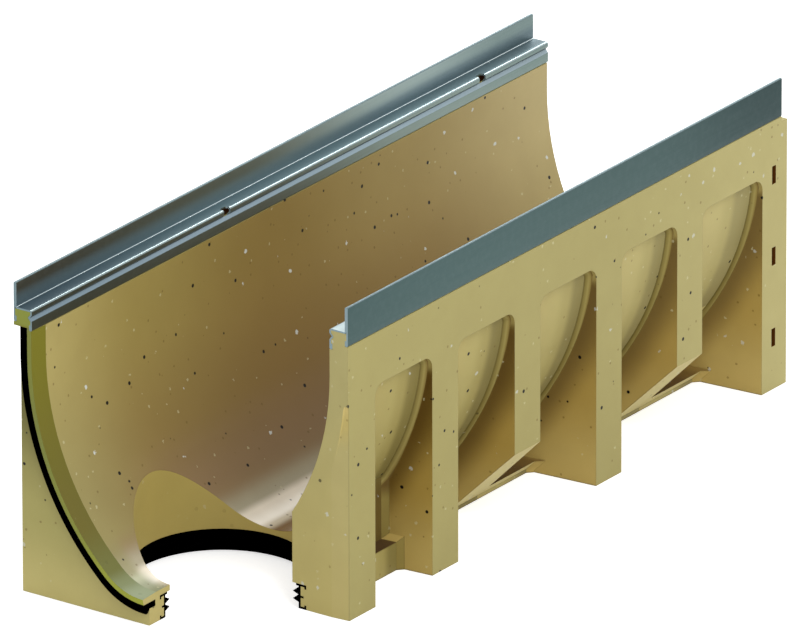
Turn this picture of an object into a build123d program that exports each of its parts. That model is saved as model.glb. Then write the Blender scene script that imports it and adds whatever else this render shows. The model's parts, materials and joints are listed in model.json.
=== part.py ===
"""Drainage channel in polymer concrete, nominal width 300 mm, with steel edge rails.

The channel lies along Y and stands on its base at Z = 0.  It is shown as a
display piece: the quarter in front of the outlet and right of the centre line
is cut away, so that the section of the wall, of the rail and of both seals
can be seen.  All sizes are in millimetres.
"""

from build123d import *
from math import radians, tan
import os

# Overall sizes
RAIL_LENGTH = 1000.0
CHANNEL_WIDTH = 350.0
CHANNEL_HEIGHT = 378.0

# Water channel: two large arcs that meet in a rounded invert
CLEAR_WIDTH = 300.0
INVERT_LEVEL = 36.5
INVERT_RADIUS = 70.0
STRAIGHT_WALL = 56.2
SHELL_THICKNESS = 15.5

# Edge rails, folded from sheet
SHEET = 2.0
LEDGE_DROP = 30.0
OUTER_SKIRT = 17.5
FOOT_HEM = 7.0
INNER_SKIRT = 25.0
INNER_HEM = 7.0
GROOVE_DEPTH = 3.5
GROOVE_LAND = 3.3
GROOVE_HALF = 4.0
LEDGE_BEND = 2.0
LOCK_POSITIONS = (372.0, 870.0)
LOCK_LENGTH = 12.0
LOCK_DEPTH = 8.5
LOCK_REACH = 7.0

# Side recesses between the ribs
RIB_WIDTH = 50.0
RIB_PITCH = 160.0
FIRST_RIB = 177.0
SHORT_RIBS = (3, 5)
END_RIB = 19.0
FAR_RIB = 38.0
RECESS_TOP_DROP = 79.0
RECESS_CORNER = 15.0
RECESS_DRAFT = 5.0
RECESS_CHAMFER = 6.5
BASE_HALF_WIDTH = 88.0
BASE_EDGE = 5.0
RECESS_FLOOR = 17.0
FLOOR_REACH = 6.0
BEVEL_ANGLE = 45.0

# Outlet in the base, with a block of concrete round it
OUTLET_CENTRE = 150.0
OUTLET_RADIUS = 98.0
BLOCK_FOOT = 34.5
BLOCK_SHELL = 15.0
BLOCK_COVER = 4.5
OUTLET_RECESSES = 2

# Outlet seal, cast in
SEAL_LIP_SETBACK = 1.0
SEAL_TOP_SETBACK = 5.0
SEAL_ROOM = 8.5
SEAL_WEB = 2.8
SEAL_HEIGHT = 29.5
SEAL_LEG_REACH = 7.7
SEAL_LEG = 2.6
SEAL_HOOK = 2.6
SEAL_HOOK_HEIGHT = 2.4
SEAL_LIP_LEVELS = (10.5, 19.5)
SEAL_LIP_BASE = 3.2
SEAL_ANCHOR = 4.0
SEAL_ANCHOR_LEVEL = 13.0

# Joint at the near end: set-back face, lip and seal
FACE_SETBACK = 13.0
LIP_THICKNESS = 8.5
LIP_SLANT = 2.4
HEAD_DROP = 20.0
FLARE = 1.3
FLARE_LENGTH = 26.0
JOINT_SEAL_BULGE = 21.5
JOINT_SEAL_NOSE = 6.6
JOINT_SEAL_HEEL = 17.6
JOINT_SEAL_ARM = 7.6
JOINT_SEAL_REACH = 24.5

# Socket at the far end
COLLAR = 11.0
COLLAR_DROP = 6.0
SOCKET_DEPTH = 13.0
SOCKET_CLEARANCE = 2.0

# Slots for the end cap's clips
SLOT_FROM_END = 15.0
SLOT_WIDTH = 7.5
SLOT_HEIGHT = 22.0
SLOT_DEPTH = 8.0
SLOT_PITCH = 100.0
SLOT_COUNT = 3
LOWEST_SLOT = 64.0

# Worked out from the sizes above
OVERALL_LENGTH = RAIL_LENGTH + COLLAR
NEAR_END = -OVERALL_LENGTH / 2
FAR_END = OVERALL_LENGTH / 2
RAIL_END = NEAR_END + RAIL_LENGTH
HALF_WIDTH = CHANNEL_WIDTH / 2
HALF_CLEAR = CLEAR_WIDTH / 2
LEDGE_LEVEL = CHANNEL_HEIGHT - LEDGE_DROP
BODY_TOP = LEDGE_LEVEL - SHEET
COLLAR_LEVEL = LEDGE_LEVEL - OUTER_SKIRT - COLLAR_DROP
OUTLET_Y = NEAR_END + OUTLET_CENTRE
FACE_Y = NEAR_END + FACE_SETBACK
HEAD_LEVEL = BODY_TOP - HEAD_DROP
RECESS_TOP = BODY_TOP - RECESS_TOP_DROP
INVERT_CENTRE = INVERT_LEVEL + INVERT_RADIUS
SPRING_LEVEL = BODY_TOP - STRAIGHT_WALL
ARC_RISE = SPRING_LEVEL - INVERT_CENTRE
ARC_SPREAD = HALF_CLEAR - INVERT_RADIUS
WALL_RADIUS = (HALF_CLEAR**2 - INVERT_RADIUS**2 + ARC_RISE**2) / (2 * ARC_SPREAD)
ARC_RUN = (WALL_RADIUS - HALF_CLEAR) / (WALL_RADIUS - INVERT_RADIUS)
ARC_FALL = ARC_RISE / (WALL_RADIUS - INVERT_RADIUS)
FLOOR_END = (INVERT_RADIUS + SHELL_THICKNESS) * ARC_RUN + FLOOR_REACH
SEAL_WEB_RADIUS = OUTLET_RADIUS + SEAL_ROOM
BLOCK_HALF_WIDTH = OUTLET_RADIUS + BLOCK_FOOT
BLOCK_WALL = OUTLET_RADIUS + BLOCK_SHELL
BLOCK_FLOOR = SEAL_HEIGHT + BLOCK_COVER
RIB_COUNT = int((RAIL_LENGTH - FAR_RIB - FIRST_RIB - RIB_PITCH / 2) / RIB_PITCH) + 1
HEM_ROUND = 0.9 * SHEET
MARGIN = 20.0
CLOSE = 1.0


def wall_line(grow, top):
    """The channel's outline from one top edge round the invert to the other."""
    side = HALF_CLEAR + grow
    radius = INVERT_RADIUS + grow
    touch_x = radius * ARC_RUN
    touch_z = INVERT_CENTRE - radius * ARC_FALL
    Line((-side, top), (-side, SPRING_LEVEL))
    RadiusArc((-side, SPRING_LEVEL), (-touch_x, touch_z), -(WALL_RADIUS + grow))
    RadiusArc((-touch_x, touch_z), (touch_x, touch_z), -radius)
    RadiusArc((touch_x, touch_z), (side, SPRING_LEVEL), -(WALL_RADIUS + grow))
    Line((side, SPRING_LEVEL), (side, top))
    return side


def channel_prism(grow, top, start, end):
    """Prism of the water channel, grown outwards, from one Y to another."""
    with BuildPart() as prism:
        with BuildSketch(Plane.XZ.offset(-end)):
            with BuildLine():
                side = wall_line(grow, top)
                Line((side, top), (-side, top))
            make_face()
        extrude(amount=end - start)
    return prism.part


def joint_strip(corners):
    """Strip that follows the channel's outline at the near end.

    Each corner gives the distance outwards from the channel's surface and the
    distance along Y from the end of the rails.
    """
    with BuildPart() as strip:
        with BuildLine(Plane.XZ.offset(-NEAR_END)) as path:
            wall_line(0, HEAD_LEVEL)
        start = Plane(
            origin=(-HALF_CLEAR, NEAR_END, HEAD_LEVEL), x_dir=(-1, 0, 0), z_dir=(0, 0, -1)
        )
        with BuildSketch(start):
            with BuildLine():
                Polyline(*corners, close=True)
            make_face()
        sweep(path=path.line)
    return strip.part


def rail_outline():
    """Corners of the folded rail on the right side, from the outer top edge."""
    depth = HALF_WIDTH - HALF_CLEAR
    inner = depth - SHEET
    skirt_end = -OUTER_SKIRT
    lip_end = -INNER_SKIRT
    groove_high = -SHEET - GROOVE_LAND
    groove_tip = groove_high - GROOVE_HALF
    groove_low = groove_tip - GROOVE_HALF
    steps = [
        (0, LEDGE_DROP),
        (0, skirt_end),
        (2 * SHEET, skirt_end),
        (2 * SHEET, skirt_end + FOOT_HEM),
        (SHEET, skirt_end + FOOT_HEM),
        (SHEET, -SHEET),
        (inner, -SHEET),
        (inner, groove_high),
        (inner - GROOVE_DEPTH, groove_tip),
        (inner, groove_low),
        (inner, lip_end + INNER_HEM),
        (inner - SHEET, lip_end + INNER_HEM),
        (inner - SHEET, lip_end),
        (depth, lip_end),
        (depth, groove_low),
        (depth - GROOVE_DEPTH, groove_tip),
        (depth, groove_high),
        (depth, 0),
        (2 * SHEET, 0),
        (2 * SHEET, LEDGE_DROP),
    ]
    return [(HALF_WIDTH - inward, LEDGE_LEVEL + rise) for inward, rise in steps]


def lock_cutouts():
    """Cut-outs in the ledge's inner edge, where the grate locks."""
    with BuildPart() as cutouts:
        for place in LOCK_POSITIONS:
            with Locations((HALF_CLEAR, NEAR_END + place, LEDGE_LEVEL)):
                Box(2 * LOCK_REACH, LOCK_LENGTH, 2 * LOCK_DEPTH)
        fillet(cutouts.edges().filter_by(Axis.X), LOCK_LENGTH / 4)
    return cutouts.part


def core_prism(corners):
    """What a side recess leaves standing: the shell of the channel and the base."""
    with BuildPart() as core:
        with BuildSketch(Plane.XZ.offset(-FAR_END - MARGIN)):
            with BuildLine():
                side = wall_line(SHELL_THICKNESS, LEDGE_LEVEL)
                Line((side, LEDGE_LEVEL), (-side, LEDGE_LEVEL))
            make_face()
            with BuildLine():
                Polyline(*corners, close=True)
            make_face()
        extrude(amount=OVERALL_LENGTH + 2 * MARGIN)
    return core.part


def side_recess(low, high, core):
    """Drafted recess in the right side, from one rib to the next, less a core."""
    depth = HALF_WIDTH - MARGIN
    draft = depth * tan(radians(RECESS_DRAFT))
    with BuildPart() as recess:
        with BuildSketch(Plane.XY.offset(-MARGIN)):
            with BuildLine():
                Polyline(
                    (HALF_WIDTH, low),
                    (HALF_WIDTH, high),
                    (HALF_WIDTH - depth, high - draft),
                    (HALF_WIDTH - depth, low + draft),
                    close=True,
                )
            make_face()
        extrude(amount=RECESS_TOP + MARGIN)
        top = recess.edges().filter_by_position(Axis.Z, RECESS_TOP - CLOSE, RECESS_TOP + CLOSE)
        fillet(top.filter_by(lambda edge: edge.bounding_box().size.X > CLOSE), RECESS_CORNER)
        add(core, mode=Mode.SUBTRACT)
        inner = recess.edges().filter_by(lambda edge: edge.bounding_box().max.X < HALF_WIDTH - CLOSE)
        along = inner.filter_by(Axis.Y).filter_by_position(Axis.Z, -MARGIN, RECESS_TOP / 2)
        floor = inner.filter_by_position(Axis.Z, RECESS_FLOOR - CLOSE, RECESS_FLOOR + CLOSE)
        chamfer(inner - along - floor, RECESS_CHAMFER)
    return recess.part


def seal_outline():
    """Outline of the outlet seal as radius and height."""
    outer = SEAL_WEB_RADIUS + SEAL_WEB
    leg_end = outer + SEAL_LEG_REACH
    hook = leg_end - SEAL_HOOK
    under = SEAL_HEIGHT - SEAL_LEG
    corners = [
        (SEAL_WEB_RADIUS, 0),
        (leg_end, 0),
        (leg_end, SEAL_LEG + SEAL_HOOK_HEIGHT),
        (hook, SEAL_LEG + SEAL_HOOK_HEIGHT),
        (hook, SEAL_LEG),
        (outer, SEAL_LEG),
        (outer, SEAL_ANCHOR_LEVEL),
        (outer + SEAL_ANCHOR, SEAL_ANCHOR_LEVEL),
        (outer + SEAL_ANCHOR, SEAL_ANCHOR_LEVEL + SEAL_LEG),
        (outer, SEAL_ANCHOR_LEVEL + SEAL_LEG),
        (outer, under),
        (hook, under),
        (hook, under - SEAL_HOOK_HEIGHT),
        (leg_end, under - SEAL_HOOK_HEIGHT),
        (leg_end, SEAL_HEIGHT),
        (OUTLET_RADIUS + SEAL_TOP_SETBACK, SEAL_HEIGHT),
        (OUTLET_RADIUS + SEAL_TOP_SETBACK, under),
        (SEAL_WEB_RADIUS, under),
    ]
    for level in reversed(SEAL_LIP_LEVELS):
        corners.append((SEAL_WEB_RADIUS, level + SEAL_LIP_BASE))
        corners.append((OUTLET_RADIUS + SEAL_LIP_SETBACK, level))
        corners.append((SEAL_WEB_RADIUS, level - SEAL_LIP_BASE))
    return corners


def block(x_range, y_range, z_range):
    """Plain block between two places along each axis."""
    with BuildPart() as shape:
        with Locations((x_range[0], y_range[0], z_range[0])):
            Box(
                x_range[1] - x_range[0],
                y_range[1] - y_range[0],
                z_range[1] - z_range[0],
                align=(Align.MIN, Align.MIN, Align.MIN),
            )
    return shape.part


# The quarter that is cut away
quarter = block(
    (0, HALF_WIDTH + MARGIN), (NEAR_END - MARGIN, OUTLET_Y), (-MARGIN, CHANNEL_HEIGHT + MARGIN)
)

# Steel rails: flange, ledge for the grate and inner skirt with its groove
locks = lock_cutouts()

with BuildPart() as full_rail:
    with BuildSketch(Plane.XZ.offset(-RAIL_END)) as rail_section:
        with BuildLine():
            Polyline(*rail_outline(), close=True)
        make_face()
        by_height = rail_section.vertices().group_by(Axis.Y)
        fillet(by_height[-1], HEM_ROUND)
        ledge_corner = rail_section.vertices().sort_by_distance((HALF_CLEAR, LEDGE_LEVEL))[0]
        fillet(ledge_corner, LEDGE_BEND)
    extrude(amount=RAIL_LENGTH)
    add(locks, mode=Mode.SUBTRACT)

with BuildPart() as left_edge_rail:
    add(mirror(full_rail.part, about=Plane.YZ))

with BuildPart() as right_edge_rail:
    add(full_rail.part)
    add(quarter, mode=Mode.SUBTRACT)

# Outlet seal: web with two lips inwards, hooked legs and an anchor outwards
with BuildPart() as outlet_seal:
    with BuildSketch(Plane.XZ.offset(-OUTLET_Y)):
        with BuildLine():
            Polyline(*seal_outline(), close=True)
        make_face()
    revolve(axis=Axis((0, OUTLET_Y, 0), (0, 0, 1)))
    add(quarter, mode=Mode.SUBTRACT)

# Joint seal: bulge on the lip of the near end, with an arm into the concrete
with BuildPart() as joint_seal:
    add(
        joint_strip(
            [
                (LIP_THICKNESS, LIP_SLANT),
                (JOINT_SEAL_BULGE, JOINT_SEAL_NOSE),
                (JOINT_SEAL_HEEL, FACE_SETBACK),
                (LIP_THICKNESS + JOINT_SEAL_ARM, FACE_SETBACK),
                (LIP_THICKNESS + JOINT_SEAL_ARM, JOINT_SEAL_REACH),
                (LIP_THICKNESS, JOINT_SEAL_REACH),
            ]
        )
    )
    add(quarter, mode=Mode.SUBTRACT)

# Recesses, shortened ribs and clip slots of the right side
bevel_end = BASE_HALF_WIDTH + (RECESS_FLOOR - BASE_EDGE) / tan(radians(BEVEL_ANGLE))
plain_core = core_prism(
    [
        (0, -2 * MARGIN),
        (BASE_HALF_WIDTH, -2 * MARGIN),
        (BASE_HALF_WIDTH, BASE_EDGE),
        (bevel_end, RECESS_FLOOR),
        (FLOOR_END, RECESS_FLOOR),
        (FLOOR_END, INVERT_CENTRE),
        (0, INVERT_CENTRE),
    ]
)
outlet_core = core_prism(
    [
        (0, -2 * MARGIN),
        (BLOCK_HALF_WIDTH, -2 * MARGIN),
        (BLOCK_HALF_WIDTH, BLOCK_FLOOR),
        (BLOCK_WALL, BLOCK_FLOOR),
        (BLOCK_WALL, INVERT_CENTRE + MARGIN),
        (0, INVERT_CENTRE + MARGIN),
    ]
)
rib_places = [NEAR_END + FIRST_RIB + RIB_PITCH * index for index in range(RIB_COUNT)]
recess_starts = [FACE_Y + END_RIB] + [place + RIB_WIDTH / 2 for place in rib_places]
recess_ends = [place - RIB_WIDTH / 2 for place in rib_places] + [RAIL_END - FAR_RIB]
bevel_top = BASE_EDGE + (HALF_WIDTH - BASE_HALF_WIDTH) * tan(radians(BEVEL_ANGLE))

with BuildPart() as side_cuts:
    for index, (start, end) in enumerate(zip(recess_starts, recess_ends)):
        add(side_recess(start, end, outlet_core if index < OUTLET_RECESSES else plain_core))
    for number in SHORT_RIBS:
        if number <= RIB_COUNT:
            middle = rib_places[number - 1]
            with BuildSketch(Plane.XZ.offset(-middle)):
                with BuildLine():
                    Polyline(
                        (BASE_HALF_WIDTH, -MARGIN),
                        (BASE_HALF_WIDTH, BASE_EDGE),
                        (HALF_WIDTH, bevel_top),
                        (HALF_WIDTH + MARGIN, bevel_top),
                        (HALF_WIDTH + MARGIN, -MARGIN),
                        close=True,
                    )
                make_face()
            extrude(amount=RIB_WIDTH / 2 + MARGIN, both=True)
    for step in range(SLOT_COUNT):
        with Locations((HALF_WIDTH, RAIL_END - SLOT_FROM_END, LOWEST_SLOT + SLOT_PITCH * step)):
            Box(2 * SLOT_DEPTH, SLOT_WIDTH, SLOT_HEIGHT)

# Room in the concrete for the right rail and the groove in its skirt
with BuildPart() as rail_room:
    with BuildSketch(Plane.XZ.offset(-RAIL_END)):
        with BuildLine():
            Polyline(*rail_outline(), close=True)
        make_face()
        with BuildLine():
            groove_top = LEDGE_LEVEL - SHEET - GROOVE_LAND
            Polyline(
                (HALF_CLEAR, groove_top),
                (HALF_CLEAR + GROOVE_DEPTH + SHEET / 2, groove_top - GROOVE_HALF),
                (HALF_CLEAR, groove_top - 2 * GROOVE_HALF),
                close=True,
            )
        make_face()
    extrude(amount=RAIL_LENGTH)

# Concrete body
with BuildPart() as channel_body:
    with BuildSketch(Plane.YZ.offset(-HALF_WIDTH)):
        with BuildLine():
            Polyline(
                (NEAR_END, BODY_TOP),
                (NEAR_END, HEAD_LEVEL),
                (FACE_Y, HEAD_LEVEL),
                (FACE_Y, 0),
                (FAR_END, 0),
                (FAR_END, COLLAR_LEVEL),
                (RAIL_END, COLLAR_LEVEL),
                (RAIL_END, BODY_TOP),
                close=True,
            )
        make_face()
    extrude(amount=CHANNEL_WIDTH)
    add(
        joint_strip(
            [
                (0, 0),
                (LIP_THICKNESS, LIP_SLANT),
                (LIP_THICKNESS, FACE_SETBACK),
                (0, FACE_SETBACK),
            ]
        )
    )
    add(side_cuts.part, mode=Mode.SUBTRACT)
    add(mirror(side_cuts.part, about=Plane.YZ), mode=Mode.SUBTRACT)
    add(
        channel_prism(0, CHANNEL_HEIGHT, NEAR_END - MARGIN, FAR_END + MARGIN),
        mode=Mode.SUBTRACT,
    )
    add(
        channel_prism(
            LIP_THICKNESS + SOCKET_CLEARANCE, CHANNEL_HEIGHT, FAR_END - SOCKET_DEPTH, FAR_END + MARGIN
        ),
        mode=Mode.SUBTRACT,
    )
    add(
        joint_strip(
            [
                (-FLARE, -FLARE),
                (FLARE, -FLARE),
                (0, FLARE_LENGTH),
                (-FLARE, FLARE_LENGTH),
            ]
        ),
        mode=Mode.SUBTRACT,
    )
    with Locations((0, OUTLET_Y, -MARGIN)):
        Cylinder(
            OUTLET_RADIUS,
            SPRING_LEVEL + MARGIN,
            align=(Align.CENTER, Align.CENTER, Align.MIN),
            mode=Mode.SUBTRACT,
        )
        Cylinder(
            SEAL_WEB_RADIUS + SEAL_WEB,
            SEAL_HEIGHT + MARGIN,
            align=(Align.CENTER, Align.CENTER, Align.MIN),
            mode=Mode.SUBTRACT,
        )
    add(quarter, mode=Mode.SUBTRACT)
    add(outlet_seal.part, mode=Mode.SUBTRACT)
    add(joint_seal.part, mode=Mode.SUBTRACT)
    add(rail_room.part, mode=Mode.SUBTRACT)
    add(mirror(rail_room.part, about=Plane.YZ), mode=Mode.SUBTRACT)
    add(locks, mode=Mode.SUBTRACT)
    add(mirror(locks, about=Plane.YZ), mode=Mode.SUBTRACT)

channel_body.part.label = "channel_body"
left_edge_rail.part.label = "left_edge_rail"
right_edge_rail.part.label = "right_edge_rail"
joint_seal.part.label = "joint_seal"
outlet_seal.part.label = "outlet_seal"

os.makedirs("parts", exist_ok=True)
export_step(channel_body.part, "parts/channel_body.step")
export_step(left_edge_rail.part, "parts/left_edge_rail.step")
export_step(right_edge_rail.part, "parts/right_edge_rail.step")
export_step(joint_seal.part, "parts/joint_seal.step")
export_step(outlet_seal.part, "parts/outlet_seal.step")
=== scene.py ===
# %% [markdown]
# # A cut-open drainage channel, dressed in Blender
#
# The object is a drainage channel cast in polymer concrete, one metre long, with a folded
# steel rail along each top edge.  A quarter of it is cut away over the outlet, so the wall,
# the rail and the rubber seals show their sections.
#
# The measured solids come from CAD and are only dressed here.  Each lesson cell says what a
# piece is on the real channel, how it could be made, and why one way was chosen.

# %% Load the measured model
import json
import math

import bpy
from mathutils import Matrix, Vector

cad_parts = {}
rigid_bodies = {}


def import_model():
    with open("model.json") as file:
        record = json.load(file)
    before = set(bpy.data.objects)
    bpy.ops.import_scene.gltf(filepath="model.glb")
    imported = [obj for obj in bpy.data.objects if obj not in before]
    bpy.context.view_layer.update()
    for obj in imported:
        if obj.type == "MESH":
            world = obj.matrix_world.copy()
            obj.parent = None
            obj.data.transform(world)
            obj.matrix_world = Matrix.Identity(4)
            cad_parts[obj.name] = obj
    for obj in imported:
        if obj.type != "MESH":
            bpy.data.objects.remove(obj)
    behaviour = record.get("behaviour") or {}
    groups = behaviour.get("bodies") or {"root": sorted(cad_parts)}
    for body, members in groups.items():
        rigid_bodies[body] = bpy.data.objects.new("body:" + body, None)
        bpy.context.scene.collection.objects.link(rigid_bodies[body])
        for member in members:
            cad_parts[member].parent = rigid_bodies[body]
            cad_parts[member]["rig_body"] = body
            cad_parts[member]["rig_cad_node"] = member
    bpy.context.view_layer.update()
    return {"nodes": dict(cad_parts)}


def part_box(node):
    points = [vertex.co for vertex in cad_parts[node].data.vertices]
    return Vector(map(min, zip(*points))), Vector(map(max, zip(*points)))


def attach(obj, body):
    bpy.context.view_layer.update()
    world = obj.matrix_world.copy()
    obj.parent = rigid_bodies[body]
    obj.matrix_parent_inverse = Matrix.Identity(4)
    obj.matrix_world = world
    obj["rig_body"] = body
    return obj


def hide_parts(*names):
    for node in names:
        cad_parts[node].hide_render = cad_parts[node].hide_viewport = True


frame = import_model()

MM = 0.001
print("CAD nodes:", sorted(frame["nodes"]))

# %% [markdown]
# ## Sizes that the dressing shares with the solids
#
# The dressing must sit exactly where the solids are, so its sizes are read from the nodes'
# boxes where that is possible.  The few that no box gives, such as the radii of the bed, are
# written down here once, in metres.

# %% Shared sizes
body_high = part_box("channel_body")[1]
rail_low, rail_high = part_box("left_edge_rail")
right_low, right_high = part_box("right_edge_rail")
NEAR = rail_low.y
FAR = body_high.y
RAIL_END = rail_high.y
CUT = right_low.y
SIDE = right_high.x
TOP = rail_high.z
LEDGE = TOP - 30 * MM
CLEAR = SIDE - 25 * MM
FACE = NEAR + 13 * MM
INVERT_RADIUS = 70 * MM
INVERT_CENTRE = 106.5 * MM
WALL_RADIUS = 320 * MM
SPRING = 289.8 * MM
HEAD = 326 * MM
BORE = 98 * MM
ARC_RUN = (WALL_RADIUS - CLEAR) / (WALL_RADIUS - INVERT_RADIUS)
ARC_FALL = math.sqrt(1 - ARC_RUN * ARC_RUN)
MERGE = 0.01 * MM
NOTCHES = (372 * MM, 870 * MM)
NOTCH_LENGTH = 12 * MM
NOTCH_REACH = 7 * MM
NOTCH_DEPTH = 9.6 * MM
print("near end", round(NEAR, 4), "cut", round(CUT, 4), "far end", round(FAR, 4))

# %% [markdown]
# ## The camera
#
# The photograph was taken from far away with a long lens, so the long edges stay almost
# parallel.  The camera is therefore set back by more than twenty metres, and the focal
# length makes up for it.  A small shift centres the frame, as a shift lens does.

# %% Camera
CAMERA_YAW = math.radians(35.458)
CAMERA_PITCH = math.radians(22.209)
CAMERA_ROLL = math.radians(0.107)
CAMERA_DISTANCE = 25.646
SENSOR = 36.0
PHOTO_WIDTH = 800
PIXELS_PER_RADIAN = 22730
SHIFT_PIXELS = (-2.2, 9.9)

right = Vector((math.cos(CAMERA_YAW), math.sin(CAMERA_YAW), 0))
forward = Vector(
    (
        -math.sin(CAMERA_YAW) * math.cos(CAMERA_PITCH),
        math.cos(CAMERA_YAW) * math.cos(CAMERA_PITCH),
        -math.sin(CAMERA_PITCH),
    )
)
up = right.cross(forward)
across = math.cos(CAMERA_ROLL) * right - math.sin(CAMERA_ROLL) * up
upright = math.sin(CAMERA_ROLL) * right + math.cos(CAMERA_ROLL) * up
aim = Vector((0, -5.5 * MM, 195 * MM))
camera_data = bpy.data.cameras.new("photo_camera")
camera = bpy.data.objects.new("photo_camera", camera_data)
bpy.context.scene.collection.objects.link(camera)
turn = Matrix((across, upright, -forward)).transposed().to_4x4()
camera.matrix_world = Matrix.Translation(aim - CAMERA_DISTANCE * forward) @ turn
camera_data.sensor_width = SENSOR
camera_data.lens = SENSOR * PIXELS_PER_RADIAN / PHOTO_WIDTH
camera_data.shift_x = SHIFT_PIXELS[0] / PHOTO_WIDTH
camera_data.shift_y = SHIFT_PIXELS[1] / PHOTO_WIDTH
camera_data.clip_end = 200
bpy.context.scene.camera = camera
bpy.context.scene.view_settings.view_transform = "Standard"
print("lens", round(camera_data.lens), "mm at", CAMERA_DISTANCE, "m")

# %% [markdown]
# ## Small helpers for working by hand in code
#
# Blender's operators act on whatever is selected.  These helpers do what a person does with
# the mouse: drop every selection, pick one piece, then pick points, edges or faces of it by
# where they lie, and go into edit mode.

# %% Selection helpers
def work_on(piece):
    """Leaves every other object alone and makes this one active."""
    if bpy.context.mode != "OBJECT":
        bpy.ops.object.mode_set(mode="OBJECT")
    bpy.ops.object.select_all(action="DESELECT")
    piece.select_set(True)
    bpy.context.view_layer.objects.active = piece


def object_mode():
    """Leaves edit mode."""
    bpy.ops.object.mode_set(mode="OBJECT")


SELECT_MODES = {
    "vertices": (True, False, False),
    "edges": (False, True, False),
    "polygons": (False, False, True),
}


def pick(piece, kind, wanted):
    """Edit mode with only the vertices, edges or faces selected that pass the test."""
    object_mode()
    mesh = piece.data
    for group in (mesh.vertices, mesh.edges, mesh.polygons):
        group.foreach_set("select", [False] * len(group))
    chosen = [item for item in getattr(mesh, kind) if wanted(item)]
    for item in chosen:
        item.select = True
    bpy.context.tool_settings.mesh_select_mode = SELECT_MODES[kind]
    bpy.ops.object.mode_set(mode="EDIT")
    return len(chosen)


def pick_edges(piece, wanted):
    """Picks the edges whose two end points pass the test."""
    points = piece.data.vertices
    return pick(piece, "edges", lambda edge: wanted(*(points[i].co for i in edge.vertices)))


def edit_all(piece):
    """Edit mode with all of the piece selected."""
    work_on(piece)
    bpy.ops.object.mode_set(mode="EDIT")
    bpy.ops.mesh.select_all(action="SELECT")


def new_plane(name, size, turned, place):
    """A plane of this size, turned and put in its place, with its transform in its mesh."""
    bpy.ops.object.select_all(action="DESELECT")
    bpy.ops.mesh.primitive_plane_add(size=1)
    plane = bpy.context.active_object
    plane.name = name
    plane.data.name = name
    plane.scale = (*size, 1)
    plane.rotation_euler = turned
    plane.location = place
    bpy.ops.object.transform_apply(location=True, rotation=True, scale=True)
    return plane


def settle(piece):
    """Places the piece's transform in its mesh and turns all faces outwards."""
    work_on(piece)
    bpy.ops.object.transform_apply(location=True, rotation=True, scale=True)
    edit_all(piece)
    bpy.ops.mesh.remove_doubles(threshold=MERGE)
    bpy.ops.mesh.normals_make_consistent(inside=False)
    object_mode()


def shade(piece, degrees):
    """Smooth shading, apart from edges where the surface turns by more than the angle."""
    work_on(piece)
    bpy.ops.object.shade_smooth_by_angle(angle=math.radians(degrees))


def open_edges(piece):
    """How many edges have other than two faces; none, if the piece is closed."""
    uses = {}
    for face in piece.data.polygons:
        for key in face.edge_keys:
            uses[key] = uses.get(key, 0) + 1
    return sum(1 for count in uses.values() if count != 2)


def report(piece):
    """Prints how many faces a piece has, whether it is closed, and its box in millimetres."""
    print(piece.name, "faces", len(piece.data.polygons), "open edges", open_edges(piece))
    for low_high in (min, max):
        corner = [low_high(v.co[axis] for v in piece.data.vertices) for axis in range(3)]
        print("   ", low_high.__name__, [round(value / MM, 2) for value in corner])


# %% [markdown]
# ## Node helpers for the finishes
#
# Every finish is a small node tree.  Building it with short helpers keeps each material to
# the few lines that say what is special about it.

# %% Node helpers
def linear(red, green, blue):
    """A colour given as 0 to 255 sRGB, in Blender's linear values."""
    values = []
    for channel in (red, green, blue):
        share = channel / 255
        if share <= 0.04045:
            values.append(share / 12.92)
        else:
            values.append(((share + 0.055) / 1.055) ** 2.4)
    return (*values, 1.0)


# A mix node has a pair of inputs for each kind of data; these are its colours.
COLOUR_A, COLOUR_B, COLOUR_OUT = 6, 7, 2


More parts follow.
